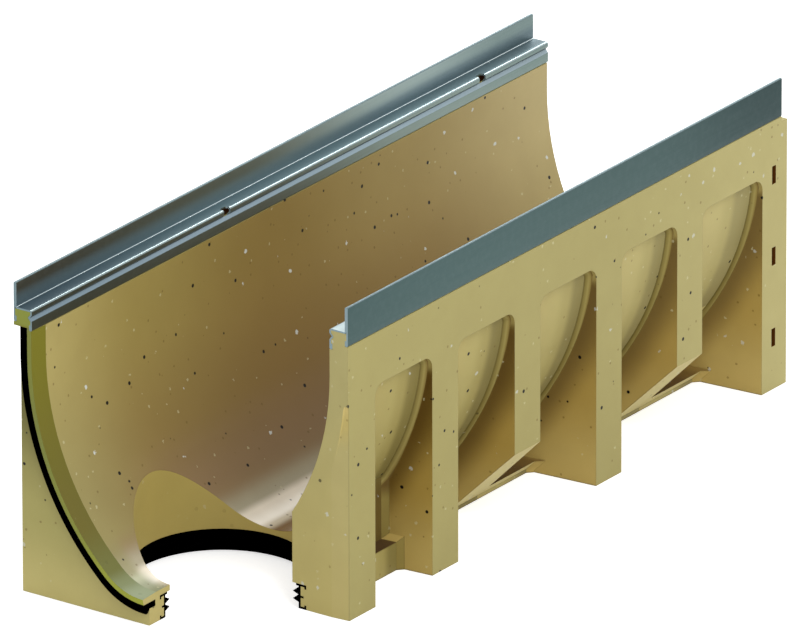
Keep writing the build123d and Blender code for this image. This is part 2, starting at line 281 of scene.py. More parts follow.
class Finish:
    """A material with its node tree, and short ways to add to it."""

    def __init__(self, name):
        self.material = bpy.data.materials.new(name)
        self.material.use_nodes = True
        self.tree = self.material.node_tree
        self.shader = self.tree.nodes["Principled BSDF"]
        self.place = self.node("ShaderNodeTexCoord").outputs["Object"]

    def node(self, kind, **settings):
        made = self.tree.nodes.new(kind)
        for name, value in settings.items():
            setattr(made, name, value)
        return made

    def link(self, value, socket):
        if isinstance(value, bpy.types.NodeSocket):
            self.tree.links.new(value, socket)
        else:
            socket.default_value = value

    def math(self, operation, first, second=0.0):
        made = self.node("ShaderNodeMath", operation=operation)
        self.link(first, made.inputs[0])
        self.link(second, made.inputs[1])
        return made.outputs[0]

    def times(self, first, second):
        return self.math("MULTIPLY", first, second)

    def smooth(self, value, low, high, start=0.0, end=1.0):
        """The value's place between low and high, as a smooth step."""
        made = self.node("ShaderNodeMapRange", interpolation_type="SMOOTHSTEP")
        self.link(value, made.inputs["Value"])
        made.inputs["From Min"].default_value = low
        made.inputs["From Max"].default_value = high
        made.inputs["To Min"].default_value = start
        made.inputs["To Max"].default_value = end
        return made.outputs["Result"]

    def mix(self, share, first, second):
        made = self.node("ShaderNodeMix", data_type="RGBA")
        self.link(share, made.inputs["Factor"])
        self.link(first, made.inputs[COLOUR_A])
        self.link(second, made.inputs[COLOUR_B])
        return made.outputs[COLOUR_OUT]

    def ramp(self, value, stops, low, high):
        """Colours by the value's place between low and high, at the places given."""
        share = self.node("ShaderNodeMapRange")
        self.link(value, share.inputs["Value"])
        share.inputs["From Min"].default_value = low
        share.inputs["From Max"].default_value = high
        made = self.node("ShaderNodeValToRGB")
        made.color_ramp.interpolation = "EASE"
        elements = made.color_ramp.elements
        while len(elements) < len(stops):
            elements.new(0.5)
        for element, (at, colour) in zip(elements, stops):
            element.position = (at - low) / (high - low)
            element.color = linear(*colour)
        self.tree.links.new(share.outputs["Result"], made.inputs["Fac"])
        return made.outputs["Color"]

    def axes(self):
        made = self.node("ShaderNodeSeparateXYZ")
        self.link(self.place, made.inputs["Vector"])
        return made.outputs["X"], made.outputs["Y"], made.outputs["Z"]

    def noise(self, scale, detail=2.0, roughness=0.5, place=None):
        made = self.node("ShaderNodeTexNoise")
        self.link(place or self.place, made.inputs["Vector"])
        made.inputs["Scale"].default_value = scale
        made.inputs["Detail"].default_value = detail
        made.inputs["Roughness"].default_value = roughness
        return made.outputs["Fac"]

    def stretched(self, scale):
        made = self.node("ShaderNodeMapping")
        self.link(self.place, made.inputs["Vector"])
        made.inputs["Scale"].default_value = scale
        return made.outputs["Vector"]

    def bump(self, height, distance, strength=1.0, normal=None):
        made = self.node("ShaderNodeBump")
        self.link(height, made.inputs["Height"])
        made.inputs["Distance"].default_value = distance
        made.inputs["Strength"].default_value = strength
        if normal is not None:
            self.link(normal, made.inputs["Normal"])
        return made.outputs["Normal"]

    def finish(self, **sockets):
        for name, value in sockets.items():
            self.link(value, self.shader.inputs[name.replace("_", " ")])
        return self.material


print("helpers ready")

# %% [markdown]
# ## Polymer concrete
#
# Polymer concrete is a fine sandy ochre mass in which dark and pale grains show.  A grain is
# a small ball in the mass, and a surface cuts some of them, so a Voronoi texture in 3-D does
# the same: it puts one point in each cell, and only the points near the surface show, as dots
# of different size.  An image would need a map on every face, which this way doesn't.
#
# The ochre is painted unevenly: the bed gets painted shade towards its middle and a painted
# highlight along the invert, which water has also polished, and the recesses are golden brown
# inside, with painted shade in their corners.  So each kind of face gets its own finish, made
# by one function from a colour field, with the same grains in all of them.

# %% Grains of the concrete
def grain_spots(finish, cell, radius, wander, shift):
    """Mask of spots, one ball in each cell of a loose 3-D pattern; wander makes them ragged."""
    moved = finish.node("ShaderNodeVectorMath", operation="ADD")
    finish.link(finish.place, moved.inputs[0])
    moved.inputs[1].default_value = (shift, shift * 0.7, shift * 1.3)
    shake = finish.node("ShaderNodeTexNoise")
    finish.link(moved.outputs[0], shake.inputs["Vector"])
    shake.inputs["Scale"].default_value = 0.8 / radius
    shake.inputs["Detail"].default_value = 1.0
    shaken = finish.node("ShaderNodeVectorMath", operation="MULTIPLY_ADD")
    finish.link(shake.outputs["Color"], shaken.inputs[0])
    shaken.inputs[1].default_value = (wander, wander, wander)
    finish.link(moved.outputs[0], shaken.inputs[2])
    cells = finish.node("ShaderNodeTexVoronoi", feature="F1", distance="EUCLIDEAN")
    finish.link(shaken.outputs[0], cells.inputs["Vector"])
    cells.inputs["Scale"].default_value = 1 / cell
    cells.inputs["Randomness"].default_value = 1.0
    edge = radius / cell
    return finish.smooth(cells.outputs["Distance"], edge, edge * 0.7)


# Each kind: cell, radius and wander in millimetres, the pattern's own shift, and its colour.
GRAINS = {
    "speck": (18.0, 1.8, 1.2, 3.1, (100, 78, 32)),
    "ghost": (20.0, 1.9, 3.8, 7.7, (204, 200, 160)),
    "fleck": (35.0, 2.9, 4.6, 5.3, (208, 214, 210)),
    "black": (28.0, 2.6, 0.6, 1.7, (6, 6, 5)),
}
CREASE_SHADE_TONE = (84, 66, 18)
CLOUD_TONE = (112, 92, 44)


def crease_shade_mask(finish, rounding):
    """Mask for painted shade: one beside the edges, where the rounded normal leaves the face's
    own, else nothing.
    """
    own = finish.node("ShaderNodeNewGeometry").outputs["Normal"]
    along = finish.node("ShaderNodeVectorMath", operation="DOT_PRODUCT")
    finish.link(own, along.inputs[0])
    finish.link(rounding.outputs["Normal"], along.inputs[1])
    return finish.smooth(along.outputs["Value"], 0.999, 0.94)


def concrete(
    name, field, roughness=0.6, grains=1.0, flecks=0.5, gloss=0.25, edge=0.0008, crease_shade=0.0,
    polish=None,
):
    """A concrete finish; field(finish) gives its colour before the grains."""
    finish = Finish(name)
    colour = field(finish)
    rounding = finish.node("ShaderNodeBevel", samples=8 if crease_shade else 4)
    rounding.inputs["Radius"].default_value = edge
    # Painted shade beside the edges, in the creases of the recesses.
    if crease_shade:
        share = finish.times(crease_shade_mask(finish, rounding), crease_shade)
        colour = finish.mix(share, colour, linear(*CREASE_SHADE_TONE))
    cloud = finish.smooth(finish.noise(20, 3, 0.55), 0.3, 0.7, 0.0, 0.07)
    colour = finish.mix(cloud, colour, linear(*CLOUD_TONE))
    shares = {"speck": 0.5 * grains, "ghost": 0.5 * grains, "fleck": flecks, "black": grains}
    spots = {}
    for kind, (cell, radius, wander, shift, tone) in GRAINS.items():
        spots[kind] = grain_spots(finish, cell * MM, radius * MM, wander * MM, shift)
        share = finish.times(spots[kind], shares[kind])
        colour = finish.mix(share, colour, linear(*tone))
    sand = finish.noise(900, 3, 0.6)
    pits = finish.math("SUBTRACT", finish.times(sand, 0.05), spots["black"])
    normal = finish.bump(pits, 0.0003, 0.5, rounding.outputs["Normal"])
    rough = finish.smooth(sand, 0.2, 0.8, roughness - 0.04, roughness + 0.06)
    if polish:
        rough = finish.math("SUBTRACT", rough, finish.times(polish(finish), 0.22))
    return finish.finish(
        Base_Color=colour, Roughness=rough, Normal=normal, Specular_IOR_Level=gloss
    )


print("grains ready")

# %% [markdown]
# ## The colour fields
#
# A field is a ramp along one of the channel's own directions, sometimes mixed with a second
# one.  A few colours along an axis are enough, because the real change is slow too.

# %% Fields of the outside, the sections and the slots
def outside_field(finish):
    """Side and end faces: a sandy ochre, lighter towards the far end."""
    stops = [(NEAR, (163, 153, 95)), (0.1, (164, 154, 98)), (FAR, (178, 168, 112))]
    return finish.ramp(finish.axes()[1], stops, NEAR, FAR)


def near_face_field(finish):
    """The face behind the joint seal, darker towards the top."""
    stops = [(0, (196, 184, 118)), (0.10, (172, 164, 100)), (0.24, (118, 114, 62))]
    return finish.ramp(finish.axes()[2], stops, 0, 0.30)


def section_field(finish):
    """The sawn faces of the cutaway."""
    return finish.ramp(finish.axes()[2], [(0, (184, 170, 106)), (0.33, (178, 168, 112))], 0, 0.35)


def slot_shade_field(finish):
    """The clip slots and the notches: painted shade, dark brown all through and darkest near the
    top.
    """
    stops = [(0, (96, 54, 18)), (0.31, (96, 54, 18)), (0.335, (40, 18, 9))]
    return finish.ramp(finish.axes()[2], stops, 0, 0.36)


print("outside fields ready")

# %% Fields of the water channel
def invert_highlight_and_polish(finish):
    """Mask of the invert: it places the bed's painted highlight, and the lower roughness where
    water has polished it.
    """
    x, _, z = finish.axes()
    return finish.times(finish.smooth(z, 0.085, 0.058), finish.smooth(x, 0.070, 0.030))


def far_invert_polish(finish):
    """The water line beyond the outlet."""
    return finish.times(invert_highlight_and_polish(finish), finish.smooth(finish.axes()[1], CUT, CUT + BORE))


def bed_field(finish):
    """The bed: lighter at its open ends and darker brown in the middle as painted shade, with a
    painted highlight along the invert.
    """
    x, y, z = finish.axes()
    # Painted shade: both ramps are darker in the middle of the channel than at its open ends.
    stops = [
        (NEAR, (179, 164, 102)),
        (-0.30, (157, 139, 76)),
        (-0.05, (142, 119, 61)),
        (0.2, (160, 140, 82)),
        (FAR, (186, 170, 118)),
    ]
    high = finish.ramp(y, stops, NEAR, FAR)
    stops = [
        (NEAR, (150, 139, 88)),
        (-0.30, (135, 112, 62)),
        (-0.05, (132, 105, 57)),
        (0.2, (138, 112, 62)),
        (FAR, (166, 149, 96)),
    ]
    low = finish.ramp(y, stops, NEAR, FAR)
    colour = finish.mix(finish.smooth(z, 0.10, 0.30), low, high)
    warm = finish.mix(finish.smooth(z, 0.15, 0.08, 0.0, 0.8), colour, linear(140, 115, 84))
    colour = finish.mix(finish.smooth(y, NEAR + 0.08, NEAR + 0.2), colour, warm)
    # Painted highlight across the invert, beyond the outlet.
    stops = [
        (-0.066, (144, 122, 88)),
        (-0.044, (172, 164, 138)),
        (-0.034, (240, 230, 210)),
        (-0.018, (255, 248, 232)),
        (-0.008, (214, 203, 178)),
        (0.006, (130, 102, 66)),
    ]
    far_painted_highlight = finish.ramp(x, stops, -0.070, 0.020)
    # A fainter, grey-green painted highlight across the invert near the near end.
    stops = [
        (-0.064, (144, 134, 92)),
        (-0.040, (160, 154, 118)),
        (-0.030, (184, 186, 154)),
        (-0.018, (158, 162, 132)),
        (0.0, (138, 142, 108)),
    ]
    near_painted_highlight = finish.ramp(x, stops, -0.070, 0.010)
    painted_highlight = finish.mix(finish.smooth(y, NEAR + 0.034, NEAR + 0.056), near_painted_highlight, far_painted_highlight)
    return finish.mix(invert_highlight_and_polish(finish), colour, painted_highlight)


def band_field(finish):
    """The flared mouth: resin-rich and olive, with a grey-green painted highlight at the bottom.
    """
    stops = [
        (0.036, (150, 160, 128)),
        (0.044, (124, 132, 90)),
        (0.056, (106, 108, 54)),
        (0.10, (104, 97, 38)),
        (0.324, (120, 116, 32)),
        (0.330, (138, 146, 60)),
    ]
    return finish.ramp(finish.axes()[2], stops, 0.03, 0.35)


def lip_field(finish):
    """The slanted face of the lip, beside the seal."""
    stops = [
        (0.03, (162, 168, 54)),
        (0.10, (136, 142, 50)),
        (0.20, (122, 128, 50)),
        (0.31, (128, 133, 52)),
    ]
    return finish.ramp(finish.axes()[2], stops, 0.02, 0.33)


def bore_field(finish):
    """The wall of the outlet."""
    stops = [(-BORE, (172, 154, 84)), (0, (186, 165, 92)), (BORE, (164, 143, 86))]
    return finish.ramp(finish.axes()[0], stops, -BORE, BORE)


print("channel fields ready")

# %% Fields of the recesses
RECESS_START = NEAR + 202 * MM
RECESS_PITCH = 160 * MM
RECESS_LENGTH = 110 * MM
SHELL = 15.5 * MM
FILLET = 6.5 * MM
BLOCK_END = -180 * MM
BLOCK_SIDE = 113.1 * MM


def along_recess(finish):
    """Place within a recess: 0 where it starts and 1 where it ends."""
    passed = finish.math("SUBTRACT", finish.axes()[1], RECESS_START)
    inside = finish.math("FLOORED_MODULO", passed, RECESS_PITCH)
    return finish.math("DIVIDE", inside, RECESS_LENGTH)


def from_bed(finish):
    """Distance outwards from the bed's side arc."""
    x, _, z = finish.axes()
    outwards = finish.math("ADD", finish.math("ABSOLUTE", x), WALL_RADIUS - CLEAR)
    spot = finish.node("ShaderNodeCombineXYZ")
    finish.link(outwards, spot.inputs["X"])
    finish.link(finish.math("SUBTRACT", z, SPRING), spot.inputs["Z"])
    reach = finish.node("ShaderNodeVectorMath", operation="LENGTH")
    finish.link(spot.outputs[0], reach.inputs[0])
    return finish.math("SUBTRACT", reach.outputs["Value"], WALL_RADIUS)


def beside_outlet(finish, share):
    """The share in the recesses beside the outlet's block, and nothing in the others."""
    return finish.smooth(finish.axes()[1], BLOCK_END, BLOCK_END - 10 * MM, 0.0, share)


def shell_field(finish):
    """The rounded back of a recess, with painted shade towards the fillet at its end and on the
    low wall of the outlet's block.
    """
    stops = [
        (0, (176, 160, 96)),
        (0.45, (169, 156, 92)),
        (0.66, (154, 141, 78)),
        (0.80, (112, 100, 44)),
    ]
    colour = finish.ramp(along_recess(finish), stops, 0, 1)
    x, y, z = finish.axes()
    colour = finish.mix(finish.smooth(y, NEAR, FAR, 0.0, 0.32), colour, linear(214, 204, 150))
    # Painted shade on the low wall beside the outlet's block.
    wall = finish.smooth(x, BLOCK_SIDE + 0.5 * MM, BLOCK_SIDE + 0.1 * MM)
    wall = finish.times(wall, finish.smooth(z, 0.13, 0.09))
    wall = finish.times(wall, beside_outlet(finish, 0.85))
    colour = finish.mix(wall, colour, linear(96, 76, 30))
    block = finish.smooth(x, BLOCK_SIDE, BLOCK_SIDE + 6.9 * MM)
    block = finish.times(block, beside_outlet(finish, 0.2))
    return finish.mix(block, colour, linear(160, 146, 84))


def rib_side_field(finish):
    """A rib's side: golden, with painted shade towards its top and towards the shell, and painted
    light along its rounded top edge.
    """
    _, y, z = finish.axes()
    stops = [
        (0.02, (190, 166, 96)),
        (0.11, (170, 142, 68)),
        (0.20, (122, 98, 36)),
        (0.242, (102, 82, 26)),
        (0.254, (164, 148, 86)),
    ]
    colour = finish.ramp(z, stops, 0, 0.27)
    # Painted shade near the shell, below the top edge.
    shell_shade = finish.smooth(from_bed(finish), 0.058, 0.022)
    shell_shade = finish.times(shell_shade, finish.smooth(z, 0.260, 0.236))
    colour = finish.mix(finish.times(shell_shade, 0.75), colour, linear(78, 52, 10))
    return finish.mix(finish.smooth(y, -0.25, 0.35, 0.0, 0.14), colour, linear(220, 196, 130))


def fillet_field(finish):
    """The fillet between shell and rib, in shade along both its edges."""
    stops = [
        (SHELL, (100, 88, 36)),
        (SHELL + 0.3 * FILLET, (132, 118, 58)),
        (SHELL + 0.55 * FILLET, (150, 136, 74)),
        (SHELL + 0.8 * FILLET, (134, 116, 56)),
        (SHELL + FILLET, (98, 76, 24)),
    ]
    colour = finish.ramp(from_bed(finish), stops, SHELL, SHELL + FILLET)
    low = finish.smooth(finish.axes()[2], 0.10, 0.08)
    return finish.mix(low, colour, linear(136, 120, 58))


def floor_field(finish):
    """The floor of a recess, in shade where the recess starts and beside the outlet."""
    stops = [(0, (86, 66, 40)), (0.6, (104, 82, 50)), (0.82, (122, 98, 54)), (1, (150, 126, 70))]
    colour = finish.ramp(along_recess(finish), stops, 0, 1)
    return finish.mix(beside_outlet(finish, 0.8), colour, linear(76, 56, 36))


def rib_foot_field(finish):
    """The slanted foot of a short rib, with painted light that makes it as bright as the outside.
    """
    return finish.ramp(finish.axes()[2], [(0, (214, 200, 136)), (0.1, (206, 192, 130))], 0, 0.12)


def cut_rib_field(finish):
    """What the cutaway leaves of a recess: the end of the rib, lighter at its top as painted
    light, with its edge in painted shade.
    """
    x, _, z = finish.axes()
    stops = [
        (0, (186, 172, 110)),
        (0.20, (182, 170, 112)),
        (0.238, (190, 172, 104)),
        (0.262, (206, 186, 118)),
    ]
    colour = finish.ramp(z, stops, 0, 0.27)
    return finish.mix(finish.smooth(x, 0.1734, 0.1742, 0.0, 0.25), colour, linear(96, 98, 70))


print("recess fields ready")

# %% Concrete finishes
FINISHES = {
    "outside": concrete("concrete_outside", outside_field),
    "near_face": concrete("concrete_near_face", near_face_field),
    "section": concrete("concrete_section", section_field, grains=0.7),
    "slot": concrete("concrete_slot_painted_shade", slot_shade_field, grains=0.0, flecks=0.0, gloss=0.0),
    "bed": concrete(
        "concrete_bed", bed_field, roughness=0.52, flecks=0.85, gloss=0.3, polish=far_invert_polish
    ),
    "band": concrete("concrete_band", band_field, grains=0.1, flecks=0.1),
    "lip": concrete("concrete_lip", lip_field, grains=0.0, flecks=0.0),
    "bore": concrete("concrete_bore", bore_field, grains=0.12, flecks=0.12),
    "shell": concrete("concrete_recess_shell", shell_field, edge=0.003, crease_shade=0.35),
    "rib_side": concrete("concrete_rib_side", rib_side_field, gloss=0.1, edge=0.003, crease_shade=0.3),
    "fillet": concrete("concrete_recess_fillet", fillet_field, grains=0.5, edge=0.003, crease_shade=0.3),
    "floor": concrete("concrete_recess_floor", floor_field, grains=0.5, gloss=0.1),
    "rib_foot": concrete("concrete_rib_foot", rib_foot_field, grains=0.5),
    "cut_rib": concrete("concrete_cut_rib", cut_rib_field, grains=0.7),
}
SLOT_OF = {zone: index for index, zone in enumerate(FINISHES)}
print("concrete finishes:", len(FINISHES))

# %% [markdown]
# ## The casting
#
# The casting's shape is already right in the CAD model, and modelling its drafted recesses a
# second time would only bring errors.  What the solid lacks is the softness of a cast edge.
# So its mesh is copied, its loose triangles are merged and the flat ones joined into larger
# faces, and then the edges where the bore meets the bed are rounded with the bevel operator.

# %% Copy and clean the casting's mesh
FLAT = math.radians(0.6)
casting = frame["nodes"]["channel_body"].copy()
casting.data = casting.data.copy()
casting.name = "channel_casting"
casting.parent = None
bpy.context.scene.collection.objects.link(casting)
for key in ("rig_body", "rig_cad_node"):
    if key in casting:
        del casting[key]
casting.data.materials.clear()
edit_all(casting)
bpy.ops.mesh.customdata_custom_splitnormals_clear()
bpy.ops.mesh.remove_doubles(threshold=MERGE / 2)
bpy.ops.mesh.dissolve_limited(angle_limit=FLAT)
object_mode()
report(casting)

# %% Say where a point lies on the channel's section
NEAR_ZERO = 0.6 * MM
RECESS_TOP = TOP - 111 * MM


def bed_gap(x, z):
    """Distance outwards from the bed's surface, in the channel's cross-section."""
    if z >= SPRING:
        return abs(x) - CLEAR
    gap = math.hypot(abs(x) + WALL_RADIUS - CLEAR, z - SPRING) - WALL_RADIUS
    if abs(x) * ARC_FALL < (INVERT_CENTRE - z) * ARC_RUN:
        gap = math.hypot(x, z - INVERT_CENTRE) - INVERT_RADIUS
    return gap


def bore_gap(x, y):
    """Distance outwards from the outlet bore's wall."""
    return math.hypot(x, y - CUT) - BORE


def from_notch(y):
    """Distance along the channel from the middle of the nearest notch."""
    return min(abs(y - NEAR - place) for place in NOTCHES)


def recess_zone(centre, normal):
    """The part of a recess that a face belongs to, by its direction."""
    turned = abs(normal.y)
    if abs(normal.x) < 0.12 and turned > 0.05:
        return "rib_side"
    if turned > 0.3:
        return "fillet" if centre.z > 38 * MM or centre.y < BLOCK_END else "rib_side"
    if normal.z > 0.9:
        return "floor"
    if normal.z > 0.5:
        return "outside"
    if normal.z < -0.5 and centre.z < 95 * MM and abs(normal.x) > 0.6:
        return "rib_foot"
    return "shell"


def zone_of(centre, normal):
    """Which finish a face of the casting gets, by its place and direction."""
    x, y, z = centre
    gap = bed_gap(x, z)
    if abs(x) < NEAR_ZERO and normal.x > 0.9 and y < CUT:
        return "section"
    if abs(y - CUT) < NEAR_ZERO and normal.y < -0.9 and x > 0:
        return "section"
    if abs(y - FACE) < NEAR_ZERO and normal.y < -0.9:
        return "near_face"
    if y < FACE - NEAR_ZERO and normal.y < -0.7 and z < HEAD and gap > NEAR_ZERO:
        return "lip"
    if y < FACE - NEAR_ZERO or (abs(gap) < 2 * MM and y < NEAR + 26 * MM):
        return "band"
    if from_notch(y) < 6.5 * MM and CLEAR < abs(x) < CLEAR + 8 * MM and z > LEDGE - 12 * MM:
        return "slot"
    if abs(gap) < 1 * MM and y < FAR - NEAR_ZERO:
        return "bed"
    if abs(bore_gap(x, y)) < 1 * MM and abs(normal.z) < 0.1:
        return "bore"
    under_side = abs(x) < SIDE - NEAR_ZERO
    in_wall = under_side and abs(x) > SIDE - 12 * MM and z < 300 * MM
    if in_wall and RAIL_END - 20 * MM < y < RAIL_END - NEAR_ZERO:
        return "slot"
    in_recess = under_side and NEAR_ZERO < z < RECESS_TOP + NEAR_ZERO
    if in_recess and y < RAIL_END - 30 * MM:
        if x > 0 and y < CUT + 9 * MM:
            return "cut_rib"
        if y > FACE + 5 * MM and abs(bore_gap(x, y)) > 14 * MM:
            return recess_zone(centre, normal)
    return "outside"


# %% Round the edge between the bore and the bed
SADDLE_ROUNDING = 2.5 * MM


def on_saddle(*points):
    """An edge that lies on the bore's wall and on the bed."""
    gaps = [gap for x, y, z in points for gap in (bore_gap(x, y), bed_gap(x, z))]
    return max(abs(gap) for gap in gaps) <= 0.5 * MM


work_on(casting)
print("saddle edges:", pick_edges(casting, on_saddle))
bpy.ops.mesh.bevel(offset=SADDLE_ROUNDING, segments=3, affect="EDGES", clamp_overlap=True)
object_mode()
shade(casting, 32)

# %% Give every face of the casting its finish
for zone_material in FINISHES.values():
    casting.data.materials.append(zone_material)
face_zones = [zone_of(face.center, face.normal) for face in casting.data.polygons]
for face, zone in zip(casting.data.polygons, face_zones):
    face.material_index = SLOT_OF[zone]
print("casting faces by finish:", {zone: face_zones.count(zone) for zone in FINISHES})
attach(casting, "root")
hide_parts("channel_body")
report(casting)

# %% [markdown]
# ## Steel for the rails
#
# The rails are bright zinc-coated sheet.  Metal shows its surroundings more than its own
# colour, and a plain studio gives it little to show.  So each fold of the rail gets its own
# tone, which is a painted reflection: blue-grey on the ledge, darker on the upright faces, and
# painted highlights almost white along the bends, where a real sheet catches the light.  All
# the tones change slowly along the rail.

# %% Steel finishes
def steel(name, field, roughness=0.42, gloss=0.5):
    """Coated sheet steel; field(finish) gives its tone."""
    finish = Finish(name)
    colour = field(finish)
    spangle = finish.smooth(finish.noise(120, 2, 0.5), 0.4, 0.7, 0.0, 0.012)
    colour = finish.mix(spangle, colour, linear(190, 204, 208))
    drawn = finish.noise(1.0, 3, 0.6, finish.stretched((400, 6, 400)))
    rough = finish.smooth(drawn, 0.3, 0.8, roughness - 0.04, roughness + 0.05)
    return finish.finish(
        Base_Color=colour, Roughness=rough, Metallic=0.6, Specular_IOR_Level=gloss
    )


def along_rail(*stops):
    """A field whose tone changes along the rail."""
    places = (NEAR, -0.1, 0.2, RAIL_END)

    def field(finish):
        return finish.ramp(finish.axes()[1], list(zip(places, stops)), NEAR, RAIL_END)

    return field


def inner_flange_field(finish):
    """The flange's inner face, as a painted reflection: dark grey above, blue-grey beside the
    ledge.
    """
    z = finish.axes()[2]
    above = along_rail((70, 71, 62), (96, 103, 91), (144, 162, 160), (104, 124, 122))(finish)
    beside = along_rail((88, 108, 116), (108, 130, 136), (102, 124, 132), (82, 102, 108))(finish)
    return finish.mix(finish.smooth(z, LEDGE + 22 * MM, LEDGE + 8 * MM), above, beside)


# Every tone below is a painted reflection.  The near part of the right ledge, the ledge's inner
# bend and the fold between flange and ledge carry painted highlights, and the top of the groove
# painted shade.
STEELS = {
    "outer_flange": steel(
        "steel_outer_flange",
        along_rail((58, 80, 79), (66, 88, 87), (64, 85, 84), (44, 63, 63)),
        gloss=0.1,
    ),
    "inner_flange": steel("steel_inner_flange", inner_flange_field),
    "ledge": steel(
        "steel_ledge", along_rail((80, 100, 110), (100, 124, 131), (104, 128, 134), (96, 116, 122))
    ),
    "ledge_painted_highlight": steel(
        "steel_ledge_painted_highlight",
        along_rail((196, 212, 212), (170, 190, 192), (104, 124, 128), (104, 124, 128)),
    ),
    "bend": steel(
        "steel_bend_highlight",
        along_rail((134, 150, 152), (142, 158, 160), (146, 162, 164), (146, 162, 164)),
        roughness=0.3,
    ),
    "rim": steel(
        "steel_rim",
        along_rail((104, 122, 126), (110, 128, 132), (112, 130, 134), (112, 130, 134)),
        roughness=0.5,
    ),
    "fold": steel(
        "steel_fold_highlight",
        along_rail((214, 228, 230), (222, 234, 236), (226, 238, 240), (226, 238, 240)),
        roughness=0.3,
    ),
    "skirt": steel(
        "steel_skirt", along_rail((71, 76, 65), (94, 102, 92), (122, 140, 134), (104, 124, 120))
    ),
    "groove_top": steel(
        "steel_groove_top", along_rail((58, 63, 54), (66, 76, 72), (74, 90, 89), (62, 76, 76))
    ),
    "groove_low": steel(
        "steel_groove_low",
        along_rail((124, 144, 156), (142, 162, 174), (152, 172, 182), (150, 168, 176)),
    ),
    "sheared_end": steel(
        "steel_sheared_end",
        along_rail((112, 132, 138), (150, 170, 176), (140, 158, 164), (130, 148, 152)),
    ),
}
STEEL_SLOT = {fold: index for index, fold in enumerate(STEELS)}
print("steel finishes:", len(STEELS))

# %% [markdown]
# ## The edge rails
#
# Each rail is one strip of sheet, folded: a hem at the foot outside, the upright flange with
# its double top, the ledge that carries the grate, and a skirt with a groove, hemmed at its
# lower edge.  The same folds are made here as on the press: one narrow plane is extruded edge
# by edge along the fold line, the folds are bevelled to their bend radius, and Solidify gives
# the sheet its thickness.  A closed outline would be quicker, but would lose the two layers.
#
# Two notches in the ledge's inner edge take the grate's locking bars.  They are punched while
# the sheet is still thin: bisect draws their outline, the faces inside are deleted, and a
# bevel on the corner points makes them round.

# %% Fold the sheet
SHEET = 1.96 * MM
HEM_RADIUS = 0.99 * MM
BEND_SEGMENTS = 4
FOLD_REACH = 0.05 * MM
# Each fold's distance inwards from the side and its height over the ledge, in millimetres.
FOLDS = [
    (3, -10.5),
    (3, -16.5),
    (1, -16.5),
    (1, 29),
    (3, 29),
    (3, -1),
    (24, -1),
    (24, -5.3),
    (20.5, -9.3),
    (24, -13.3),
    (24, -24),
    (22, -24),
    (22, -18),
]


def fold_point(step):
    """Where a fold lies in the right rail's cross-section."""
    inward, rise = FOLDS[step]
    return Vector((SIDE - inward * MM, 0, LEDGE + rise * MM))


def folded_rail(name, start, end):
    """One rail on the right side, between two places along the channel."""
    first, second = fold_point(0), fold_point(1)
    middle = (first + second) / 2
    rail = new_plane(
        name,
        ((first - second).length, end - start),
        (0, math.radians(90), 0),
        (middle.x, (start + end) / 2, middle.z),
    )
    pick_edges(rail, lambda a, b: max(a.z, b.z) < second.z + 0.1 * MM)
    for step in range(1, len(FOLDS) - 1):
        shift = fold_point(step + 1) - fold_point(step)
        bpy.ops.mesh.extrude_region_move(TRANSFORM_OT_translate={"value": shift})
    object_mode()
    return rail


def bend(rail, step, radius):
    """Rounds one fold of the sheet."""
    at = fold_point(step)

    def on_fold(a, b):
        return all(abs(p.x - at.x) < FOLD_REACH and abs(p.z - at.z) < FOLD_REACH for p in (a, b))

    pick_edges(rail, on_fold)
    bpy.ops.mesh.bevel(offset=radius, segments=BEND_SEGMENTS, affect="EDGES", clamp_overlap=True)
    object_mode()


HEMS = (1, 2, 3, 4, 10, 11)
BEND_RADII = {5: 1.7, 6: 1.6, 8: 0.6, 9: 0.8}


def round_folds(rail):
    """Rounds the hems, and then the other folds that have a radius."""
    for step in HEMS:
        bend(rail, step, HEM_RADIUS)
    for step, radius in BEND_RADII.items():
        bend(rail, step, radius * MM)


print("folds in one rail:", len(FOLDS) - 2)

# %% Punch the notches and give the sheet its thickness
ON_CUT = 0.02 * MM
CORNER_RADIUS = 3 * MM


def cut_across(piece, place, normal):
    """Cuts new edges into a sheet along a plane, and takes nothing away."""
    edit_all(piece)
    bpy.ops.mesh.bisect(plane_co=place, plane_no=normal)
    object_mode()


def punch_notches(rail):
    """Takes out the ledge's inner edge and the top of the skirt where a locking bar goes."""
    cut_across(rail, (CLEAR + NOTCH_REACH, 0, 0), (1, 0, 0))
    cut_across(rail, (0, 0, LEDGE - NOTCH_DEPTH), (0, 0, 1))
    for place in NOTCHES:
        for end in (-1, 1):
            cut_across(rail, (0, NEAR + place + end * NOTCH_LENGTH / 2, 0), (0, 1, 0))

    def punched(face):
        x, y, z = face.center
        near_edge = x < CLEAR + NOTCH_REACH and z > LEDGE - NOTCH_DEPTH
        return near_edge and from_notch(y) < NOTCH_LENGTH / 2

    count = pick(rail, "polygons", punched)
    bpy.ops.mesh.delete(type="FACE")
    object_mode()
    return count


def round_notches(rail):
    """Rounds the four corners of each notch, in the ledge and in the skirt."""

    def corner(vertex):
        x, y, z = vertex.co
        on_ledge = abs(x - CLEAR - NOTCH_REACH) < ON_CUT and z > LEDGE - 2 * MM
        on_skirt = abs(z - LEDGE + NOTCH_DEPTH) < ON_CUT and x < CLEAR + 5 * MM
        return abs(from_notch(y) - NOTCH_LENGTH / 2) < ON_CUT and (on_ledge or on_skirt)

    count = pick(rail, "vertices", corner)
    bpy.ops.mesh.bevel(
        offset=CORNER_RADIUS, segments=BEND_SEGMENTS, affect="VERTICES", clamp_overlap=True
    )
    object_mode()
    return count


